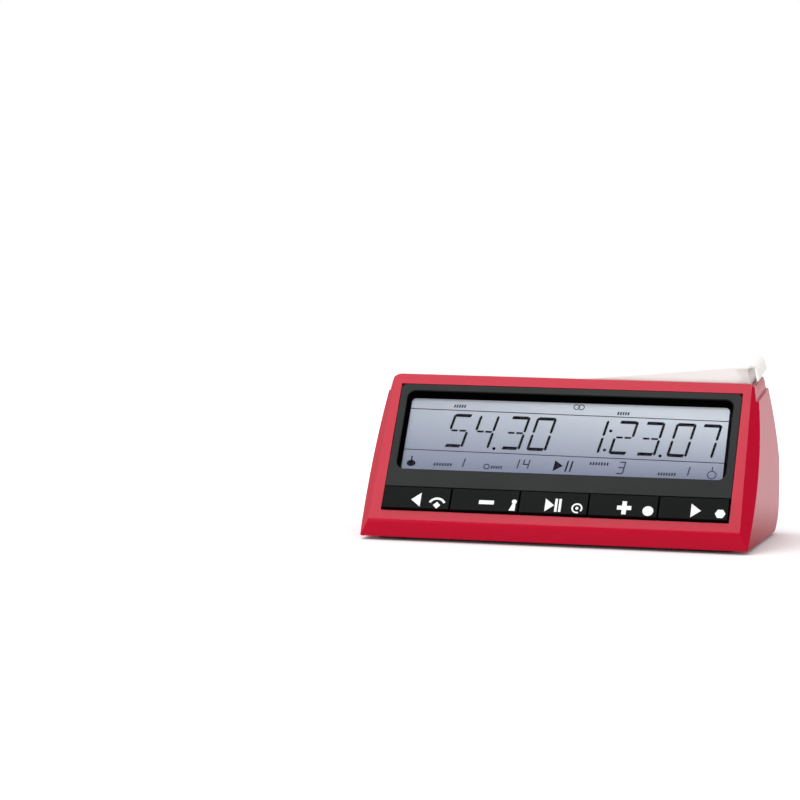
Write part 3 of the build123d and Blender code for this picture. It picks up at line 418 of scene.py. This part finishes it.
bodyOf = {node: body for body, nodes in frame["record"]["behaviour"]["bodies"].items() for node in nodes}

# smooth copies of the CAD solids that show: merging distance in metres, angles in degrees
copying = {"weld": 0.000002, "flat": 0.4, "crease": 28.0, "segments": 2, "weight": 80}


def addPiece(name, mesh, material, body):
    piece = bpy.data.objects.new(name, mesh)
    bpy.context.scene.collection.objects.link(piece)
    mesh.materials.clear()
    mesh.materials.append(material)
    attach(piece, body)
    return piece


def smoothCopy(node, name, material, edge=0.0):
    # the node's own triangles merged into one skin, with its sharp edges kept and, if asked, slightly rounded
    crease = math.radians(copying["crease"])
    bm = bmesh.new()
    bm.from_mesh(frame["nodes"][node].data)
    bmesh.ops.remove_doubles(bm, verts=bm.verts, dist=copying["weld"])
    bmesh.ops.dissolve_limit(bm, angle_limit=math.radians(copying["flat"]), verts=bm.verts, edges=bm.edges)
    if edge:
        sharp = [e for e in bm.edges if len(e.link_faces) == 2 and e.is_convex
                 and e.calc_face_angle() > crease]
        bmesh.ops.bevel(bm, geom=sharp, offset=edge * mm, segments=copying["segments"], profile=0.5,
                        affect="EDGES", clamp_overlap=True)
    bmesh.ops.triangulate(bm, faces=[f for f in bm.faces if len(f.verts) > 4])
    for e in bm.edges:
        e.smooth = len(e.link_faces) == 2 and e.calc_face_angle() < crease
    mesh = bpy.data.meshes.new(name)
    bm.verts.ensure_lookup_table()
    mesh.from_pydata([v.co for v in bm.verts], [], [[v.index for v in f.verts] for f in bm.faces])
    mesh.polygons.foreach_set("use_smooth", np.ones(len(mesh.polygons), bool))
    mesh.update()
    crisp = {tuple(sorted((e.verts[0].index, e.verts[1].index))) for e in bm.edges if not e.smooth}
    flags = np.array([tuple(sorted(e.vertices)) in crisp for e in mesh.edges], bool)
    mesh.attributes.new("sharp_edge", "BOOLEAN", "EDGE").data.foreach_set("value", flags)
    bm.free()
    piece = addPiece(name, mesh, material, bodyOf[node])
    weigh = piece.modifiers.new("weighted", "WEIGHTED_NORMAL")
    weigh.keep_sharp = True
    weigh.weight = copying["weight"]
    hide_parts(node)
    return piece


smoothCopy("upper_casing", "casing_moulding", redPlastic)
smoothCopy("rocker", "lever_moulding", leverPlastic, edge=0.25)
smoothCopy("bezel", "bezel_moulding", bezelPlastic)
smoothCopy("base_cover", "base_moulding", blackPlastic)
smoothCopy("battery_door", "door_moulding", blackPlastic)
smoothCopy("power_button", "power_button_cap", softRubber)
smoothCopy("feet", "rubber_feet", softRubber)
keyNames = ("key_back", "key_minus", "key_start_stop", "key_plus", "key_forward")
for keyName in keyNames:
    smoothCopy(keyName, keyName + "_cap", keyPlastic, edge=0.12)
print("casing, lever, bezel, keys and base copied smooth")

# finishes of the solids that stay as they are
finishes = {
    "window": clearAcrylic, "display_glass": displayGlass, "display_tray": blackPlastic,
    "contact_strip": siliconeRubber, "key_mat": siliconeRubber, "main_board": boardMask,
    "power_board": boardMask, "board_screws": steelFinish, "processor": chipEpoxy, "memory_chip": chipEpoxy,
    "hall_sensors": chipEpoxy, "crystal": steelFinish, "capacitors": siliconeRubber,
    "battery_front": cellJacket, "battery_rear": cellJacket, "battery_contacts": steelFinish,
    "battery_springs": steelFinish, "power_switch": blackPlastic, "jack_socket": blackPlastic,
    "buzzer": blackPlastic, "case_screws": steelFinish, "rocker_pin": steelFinish,
    "rocker_magnets": magnetFinish}
for nodeName, finish in finishes.items():
    kept = frame["nodes"][nodeName].data.materials
    kept.clear()
    kept.append(finish)


def facePlates(name, outlines, front, thick, material, body, place=onFace):
    # flat plates, on the slanted front unless told; each closed outline goes from front to front + thick
    points, faces, start = [], [], 0
    for outline in outlines:
        outline = np.asarray(outline, float)
        x, v = outline[:, 0], outline[:, 1]
        area = np.sum(x * np.roll(v, -1) - np.roll(x, -1) * v)
        outline = outline if area > 0 else outline[::-1]
        count = len(outline)
        points += [place(outline[:, 0], outline[:, 1], depth) for depth in (front, front + thick)]
        ring = np.arange(count)
        after = np.roll(ring, -1)
        faces.append((start + ring).tolist())
        faces.append((start + count + ring[::-1]).tolist())
        sides = [start + ring, start + count + ring, start + count + after, start + after]
        faces += np.stack(sides, 1).tolist()
        start += 2 * count
    mesh = bpy.data.meshes.new(name)
    mesh.from_pydata(np.concatenate(points).tolist(), [], faces)
    mesh.update()
    return addPiece(name, mesh, material, body)


def bar(x0, v0, x1, v1):
    return np.array([[x0, v0], [x1, v0], [x1, v1], [x0, v1]])


def disc(x, v, r, sides=24, squash=1.0):
    turn = np.linspace(0, 2 * np.pi, sides, endpoint=False)
    return np.stack([x + r * np.cos(turn), v + r * squash * np.sin(turn)], 1)


def arc(x, v, inner, outer, start, end, sides=16):
    # part of a ring: out along the outer arc and back along the inner one, angles in degrees
    turn = np.radians(np.linspace(start, end, sides))
    out = np.stack([x + outer * np.cos(turn), v + outer * np.sin(turn)], 1)
    back = np.stack([x + inner * np.cos(turn[::-1]), v + inner * np.sin(turn[::-1])], 1)
    return np.concatenate([out, back])


def ringOf(x, v, inner, outer):
    return [arc(x, v, inner, outer, 0, 180), arc(x, v, inner, outer, 180, 360)]


# the display's artwork sits on the glass a little askew, so its places turn about the middle of the glass
display = {"front": 3.94, "thick": 0.05, "turn": -0.6, "middle": (0.0, 59.0), "slant": 9.7, "digitTall": 21.7,
           "digitWide": 11.3, "digitTop": 71.8, "thickBar": 2.0, "thinBar": 1.45, "gap": 0.5, "cut": 0.6,
           "dot": 0.95, "dotSides": 12}
litSegments = {"0": "abcdef", "1": "bc", "2": "abged", "3": "abgcd", "4": "fgbc", "5": "afgcd", "7": "abc"}
digitRows = {"display_digits_left": (("5", -64.9), ("4", -50.0), ("3", -32.3), ("0", -17.3)),
             "display_digits_right": (("1", 12.6), ("2", 29.2), ("3", 44.2), ("0", 61.6), ("7", 76.0))}
digitDots = {"display_digits_left": ((-39.3, 50.4),),
             "display_digits_right": ((25.2, 64.9), (23.2, 52.6), (54.6, 50.4))}


def askew(outline):
    turn = math.radians(display["turn"])
    x0, v0 = display["middle"]
    x, v = outline[:, 0] - x0, outline[:, 1] - v0
    s, c = math.sin(turn), math.cos(turn)
    return np.stack([x0 + x * c - v * s, v0 + x * s + v * c], 1)


def digitBars(symbol, left, top):
    # seven bars in an upright box, cut off at a slant where they meet, then leant over by the slant
    tall, wide, big, thin, gap, cut = (display[k] for k in ("digitTall", "digitWide", "thickBar", "thinBar",
                                                            "gap", "cut"))
    half = tall / 2
    below, above = half - gap, half + gap
    shapes = {
        "a": [[(1.2, tall), (wide - 1.1, tall), (wide - 1.5, tall - big), (1.0, tall - big)]],
        "d": [[(1.0, 0), (wide - 2.0, 0), (wide - 1.5, big), (1.5, big)]],
        "g": [[(1.7, half - cut), (5.1, half - cut), (5.1, half + cut), (1.7, half + cut), (1.2, half)],
              [(6.1, half - cut), (wide - 1.7, half - cut), (wide - 1.2, half), (wide - 1.7, half + cut),
               (6.1, half + cut)]],
        "f": [[(0, above + cut), (thin * 0.6, above), (thin, above + cut), (thin, tall - 1.2),
               (0.5 * thin, tall - 0.4), (0, tall - 1.6)]],
        "e": [[(0, 1.0), (thin * 0.6, 0.3), (thin, 1.2), (thin, below - cut), (thin * 0.5, below),
               (0, below - cut)]],
        "b": [[(wide - thin, above + cut), (wide - thin / 2, above), (wide, above + cut), (wide, tall - 1.2),
               (wide - 0.7, tall - 0.3), (wide - thin, tall - 1.2)]],
        "c": [[(wide - thin, 1.2), (wide - thin * 0.6, 0.3), (wide, 1.0), (wide, below - cut),
               (wide - thin * 0.5, below), (wide - thin, below - cut)]]}
    lean = math.tan(math.radians(display["slant"]))
    bars = []
    for segment in litSegments[symbol]:
        for shape in shapes[segment]:
            outline = np.array(shape, float)
            outline[:, 0] += left + (outline[:, 1] - tall) * lean
            outline[:, 1] += top - tall
            bars.append(askew(outline))
    return bars


for rowName, row in digitRows.items():
    bars = [shape for symbol, left in row for shape in digitBars(symbol, left, display["digitTop"])]
    bars += [askew(disc(x, v, display["dot"], display["dotSides"])) for x, v in digitDots[rowName]]
    facePlates(rowName, bars, display["front"], display["thick"], segmentInk, "casing")

# two thin rules across the display, above and below the digits
rule = {"heights": (74.0, 47.6), "half": 90.7, "thick": 0.5}
rules = [askew(bar(-rule["half"], v - rule["thick"] / 2, rule["half"], v + rule["thick"] / 2))
         for v in rule["heights"]]
facePlates("display_lines", rules, display["front"], display["thick"], paleInk, "casing")


# captions are rows of plain blocks, each row its two ends, its foot and head, and how many blocks it has
captionFill = 0.62
captions = ((-66.0, -58.8, 76.4, 78.4, 5), (27.6, 34.8, 75.0, 77.0, 5), (-72.4, -61.6, 38.6, 40.4, 7),
            (-39.6, -32.9, 38.0, 39.8, 5), (15.8, 26.8, 42.6, 44.4, 7), (54.4, 64.8, 37.6, 39.4, 7))


def dashes(x0, x1, low, high, count):
    # a short row of small leaning blocks from x0 to x1
    pitch = (x1 - x0) / count
    lean = (high - low) * math.tan(math.radians(display["slant"]))
    blocks = []
    for i in range(count):
        left, right = x0 + i * pitch, x0 + (i + captionFill) * pitch
        blocks.append(np.array([[left, low], [right, low], [right + lean, high], [left + lean, high]]))
    return blocks


def slantBar(x, low, high, thick):
    lean = (high - low) * math.tan(math.radians(display["slant"]))
    return np.array([[x, low], [x + thick, low], [x + thick + lean, high], [x + lean, high]])


# dark marks: an arrowhead, two bars, a bell and its stem; pale ones: captions, rings and small numbers
strokes = {"bar": 0.9, "small": 0.7, "oneTall": 5.6, "ones": ((-56.0, 38.4), (70.6, 38.0), (-25.0, 38.8))}
darkMarks = [np.array([[-4.4, 37.9], [1.0, 41.3], [-3.6, 44.7]]), slantBar(2.2, 37.8, 44.6, strokes["bar"]),
             slantBar(4.7, 37.8, 44.6, strokes["bar"]), disc(-85.4, 39.7, 2.6, 20, 0.75),
             bar(-85.8, 41.2, -85.0, 44.2)]
paleMarks = [block for caption in captions for block in dashes(*caption)]
paleMarks += ringOf(-42.0, 39.2, 1.2, 1.8) + ringOf(84.3, 39.0, 2.1, 2.6) + [bar(84.0, 41.4, 84.6, 44.0)]
paleMarks += ringOf(4.2, 79.2, 1.3, 1.8) + ringOf(7.0, 79.2, 1.3, 1.8)
paleMarks += [slantBar(x, low, low + strokes["oneTall"], strokes["small"]) for x, low in strokes["ones"]]
paleMarks += [slantBar(-19.2, 38.8, 44.4, strokes["small"]), slantBar(-21.7, 41.4, 44.4, strokes["small"]),
              bar(-21.6, 41.1, -18.6, 41.8)]
paleMarks += [slantBar(34.4, 37.9, 45.2, strokes["small"]), bar(31.4, 37.5, 34.6, 38.2),
              bar(32.2, 41.2, 35.0, 41.9), bar(32.8, 44.7, 35.8, 45.4)]
facePlates("display_symbols", darkMarks, display["front"], display["thick"], segmentInk, "casing")
facePlates("display_captions", paleMarks, display["front"], display["thick"], paleInk, "casing")

# key signs stand proud of the caps
signPlate = {"front": -1.84, "thick": 0.06}
keySigns = {
    "key_back": [np.array([[-80.3, 13.6], [-74.9, 9.3], [-74.9, 18.0]]), arc(-65.4, 10.2, 3.9, 5.2, 25, 155),
                 np.array([[-65.4, 8.5], [-63.3, 10.6], [-65.4, 12.7], [-67.5, 10.6]])],
    "key_minus": [bar(-41.8, 12.4, -33.4, 14.8), disc(-22.0, 14.6, 1.4, 16),
                  np.array([[-24.6, 9.0], [-21.2, 9.0], [-21.2, 13.2], [-22.9, 13.2]])],
    "key_start_stop": [np.array([[-4.6, 9.4], [0.4, 13.4], [-4.6, 17.4]]), bar(0.8, 9.4, 2.2, 17.5),
                       bar(3.0, 9.4, 4.4, 17.5), arc(13.3, 12.1, 2.2, 3.1, -40, 290, 24),
                       disc(13.3, 12.1, 0.9, 12)],
    "key_plus": [np.array([[35.4, 12.3], [38.1, 12.3], [38.1, 9.5], [40.6, 9.5], [40.6, 12.3],
                           [43.3, 12.3], [43.3, 14.8], [40.6, 14.8], [40.6, 17.6], [38.1, 17.6],
                           [38.1, 14.8], [35.4, 14.8]]), disc(52.6, 12.1, 3.0, 24)],
    "key_forward": [np.array([[76.1, 9.3], [81.6, 13.5], [76.1, 17.7]]), disc(92.2, 12.1, 2.9, 6)]}
for keyName, outlines in keySigns.items():
    facePlates(keyName + "_sign", outlines, signPlate["front"], signPlate["thick"], whiteInk, bodyOf[keyName])
print("printed shapes made")


def underneath(x, v, d):
    # point on the underside: x along the clock, v towards the front and d up from the table, in metres
    x, v, d = np.broadcast_arrays(np.asarray(x, float), np.asarray(v, float), np.asarray(d, float))
    return np.stack([x, -v, d], -1) * mm


# battery door: a thumb grip of raised ribs and a plain arrow
grip = {"x": 25.0, "half": 10.0, "first": -33.0, "pitch": 1.7, "ribs": 6, "thick": 0.8, "low": 0.42,
        "tall": 0.42, "arrowTip": -20.5, "arrowFoot": -15.5, "arrowHalf": 4.0}
gripBars = []
for i in range(grip["ribs"]):
    foot = grip["first"] + i * grip["pitch"]
    gripBars.append(bar(grip["x"] - grip["half"], foot, grip["x"] + grip["half"], foot + grip["thick"]))
gripBars.append(np.array([[grip["x"], grip["arrowTip"]], [grip["x"] + grip["arrowHalf"], grip["arrowFoot"]],
                          [grip["x"] - grip["arrowHalf"], grip["arrowFoot"]]]))
facePlates("door_grip_ribs", gripBars, grip["low"], grip["tall"], blackPlastic, "battery_door",
           underneath)

# power button: an open ring and a bar
buttonSign = {"x": -50.0, "v": -14.8, "outer": 2.6, "inner": 2.0, "opening": (-50, 230), "sides": 28,
              "barHalf": 0.35, "barEnds": (3.1, 0.6), "low": 0.82, "tall": 0.12}
x, v = buttonSign["x"], buttonSign["v"]
buttonShapes = [arc(x, v, buttonSign["inner"], buttonSign["outer"], *buttonSign["opening"],
                    buttonSign["sides"]),
                bar(x - buttonSign["barHalf"], v - buttonSign["barEnds"][0], x + buttonSign["barHalf"],
                    v - buttonSign["barEnds"][1])]
facePlates("power_button_sign", buttonShapes, buttonSign["low"], buttonSign["tall"], whiteInk, "power_button",
           underneath)
print("underside details made")


# table and light: each pair of distances is where a change starts and where it is complete
studio = {"tableHalf": 12.0, "tableColour": 0.93, "tableGlow": 0.03, "farGlow": 0.45,
          "glowFrom": (0.10, 0.34), "frontGloss": 0.06, "rearGloss": 0.85, "glossFrom": (-0.10, 0.25),
          "worldLight": 0.80, "darkGloss": 0.03, "worldFrom": (0.50, 0.88), "aim": (0, 0, 0.05),
          "lampColour": (0.95, 0.97, 1.0), "topPlace": (-0.35, -0.12, 1.50), "topSize": (1.7, 1.1),
          "topPower": 14.0, "fillPlace": (-1.1, -1.7, 0.9), "fillSize": (1.0, 1.0), "fillPower": 3.0}


def makeStage():
    # plain pale table; straight on it whitens away from the clock, and shiny surfaces see it dark in front
    mesh = bpy.data.meshes.new("table")
    h = studio["tableHalf"]
    mesh.from_pydata([(-h, -h, 0), (h, -h, 0), (h, h, 0), (-h, h, 0)], [], [(0, 1, 2, 3)])
    table = bpy.data.objects.new("table", mesh)
    bpy.context.scene.collection.objects.link(table)
    colour = (studio["tableColour"],) * 3 + (1.0,)
    material, tree, shader = makeShader("paleTable", Roughness=0.75, Base_Color=colour,
                                        Specular_IOR_Level=0.2)
    place = addNode(tree, "ShaderNodeTexCoord", (-900, -300))
    parts = addNode(tree, "ShaderNodeSeparateXYZ", (-700, -500))
    away = addNode(tree, "ShaderNodeVectorMath", (-700, -200), operation="LENGTH")
    path = addNode(tree, "ShaderNodeLightPath", (-900, 200))
    whiten = addNode(tree, "ShaderNodeMapRange", (-500, -200), interpolation_type="SMOOTHSTEP")
    whiten.inputs["From Min"].default_value, whiten.inputs["From Max"].default_value = studio["glowFrom"]
    whiten.inputs["To Min"].default_value = studio["tableGlow"]
    whiten.inputs["To Max"].default_value = studio["farGlow"]
    seen = addNode(tree, "ShaderNodeMath", (-300, -200), operation="MULTIPLY")
    glow = addNode(tree, "ShaderNodeEmission", (-100, -200))
    both = addNode(tree, "ShaderNodeAddShader", (300, 0))
    rear = addNode(tree, "ShaderNodeMapRange", (-500, -500), interpolation_type="SMOOTHSTEP")
    rear.inputs["From Min"].default_value, rear.inputs["From Max"].default_value = studio["glossFrom"]
    rear.inputs["To Min"].default_value = studio["frontGloss"]
    rear.inputs["To Max"].default_value = studio["rearGloss"]
    mirrored = addNode(tree, "ShaderNodeEmission", (-100, -500))
    pick = addNode(tree, "ShaderNodeMixShader", (500, 0))
    joinUp(tree, place.outputs["Object"], away.inputs[0])
    joinUp(tree, place.outputs["Object"], parts.inputs["Vector"])
    joinUp(tree, away.outputs["Value"], whiten.inputs["Value"])
    joinUp(tree, whiten.outputs["Result"], seen.inputs[0])
    joinUp(tree, path.outputs["Is Camera Ray"], seen.inputs[1])
    joinUp(tree, seen.outputs[0], glow.inputs["Strength"])
    joinUp(tree, shader.outputs[0], both.inputs[0])
    joinUp(tree, glow.outputs[0], both.inputs[1])
    joinUp(tree, parts.outputs["Y"], rear.inputs["Value"])
    joinUp(tree, rear.outputs["Result"], mirrored.inputs["Strength"])
    joinUp(tree, path.outputs["Is Glossy Ray"], pick.inputs[0])
    joinUp(tree, both.outputs[0], pick.inputs[1])
    joinUp(tree, mirrored.outputs[0], pick.inputs[2])
    joinUp(tree, pick.outputs[0], tree.nodes["Material Output"].inputs["Surface"])
    mesh.materials.append(material)


def makeLamp(name, place, aim, size, power):
    light = bpy.data.lights.new(name, "AREA")
    light.shape = "RECTANGLE"
    light.size, light.size_y = size
    light.energy = power
    light.color = studio["lampColour"]
    lamp = bpy.data.objects.new(name, light)
    bpy.context.scene.collection.objects.link(lamp)
    lamp.location = place
    lamp.rotation_mode = "QUATERNION"
    lamp.rotation_quaternion = (Vector(place) - Vector(aim)).to_track_quat("Z", "Y")


def makeWorld():
    # even soft light; what shiny surfaces see is white behind the clock and dim in front and at the sides
    world = bpy.data.worlds.new("studio")
    bpy.context.scene.world = world
    world.use_nodes = True
    tree = world.node_tree
    even = tree.nodes["Background"]
    even.inputs["Color"].default_value = (1, 1, 1, 1)
    even.inputs["Strength"].default_value = studio["worldLight"]
    place = addNode(tree, "ShaderNodeTexCoord", (-900, -300))
    parts = addNode(tree, "ShaderNodeSeparateXYZ", (-700, -300))
    rear = addNode(tree, "ShaderNodeMapRange", (-500, -300), interpolation_type="SMOOTHSTEP")
    rear.inputs["From Min"].default_value, rear.inputs["From Max"].default_value = studio["worldFrom"]
    rear.inputs["To Min"].default_value = studio["darkGloss"]
    rear.inputs["To Max"].default_value = 1.0
    seen = addNode(tree, "ShaderNodeBackground", (-200, -300))
    joinUp(tree, place.outputs["Generated"], parts.inputs["Vector"])
    joinUp(tree, parts.outputs["Y"], rear.inputs["Value"])
    joinUp(tree, rear.outputs["Result"], seen.inputs["Strength"])
    white = addNode(tree, "ShaderNodeBackground", (0, -500))
    white.inputs["Color"].default_value = (1, 1, 1, 1)
    path = addNode(tree, "ShaderNodeLightPath", (-400, 300))
    shiny = addNode(tree, "ShaderNodeMixShader", (100, 0))
    straight = addNode(tree, "ShaderNodeMixShader", (300, 0))
    joinUp(tree, path.outputs["Is Glossy Ray"], shiny.inputs[0])
    joinUp(tree, even.outputs[0], shiny.inputs[1])
    joinUp(tree, seen.outputs[0], shiny.inputs[2])
    joinUp(tree, path.outputs["Is Camera Ray"], straight.inputs[0])
    joinUp(tree, shiny.outputs[0], straight.inputs[1])
    joinUp(tree, white.outputs[0], straight.inputs[2])
    joinUp(tree, straight.outputs[0], tree.nodes["World Output"].inputs["Surface"])


makeStage()
makeWorld()
makeLamp("topBox", studio["topPlace"], studio["aim"], studio["topSize"], studio["topPower"])
makeLamp("fillBox", studio["fillPlace"], studio["aim"], studio["fillSize"], studio["fillPower"])
bpy.context.scene.view_settings.view_transform = "Standard"
print("stage and lights made")
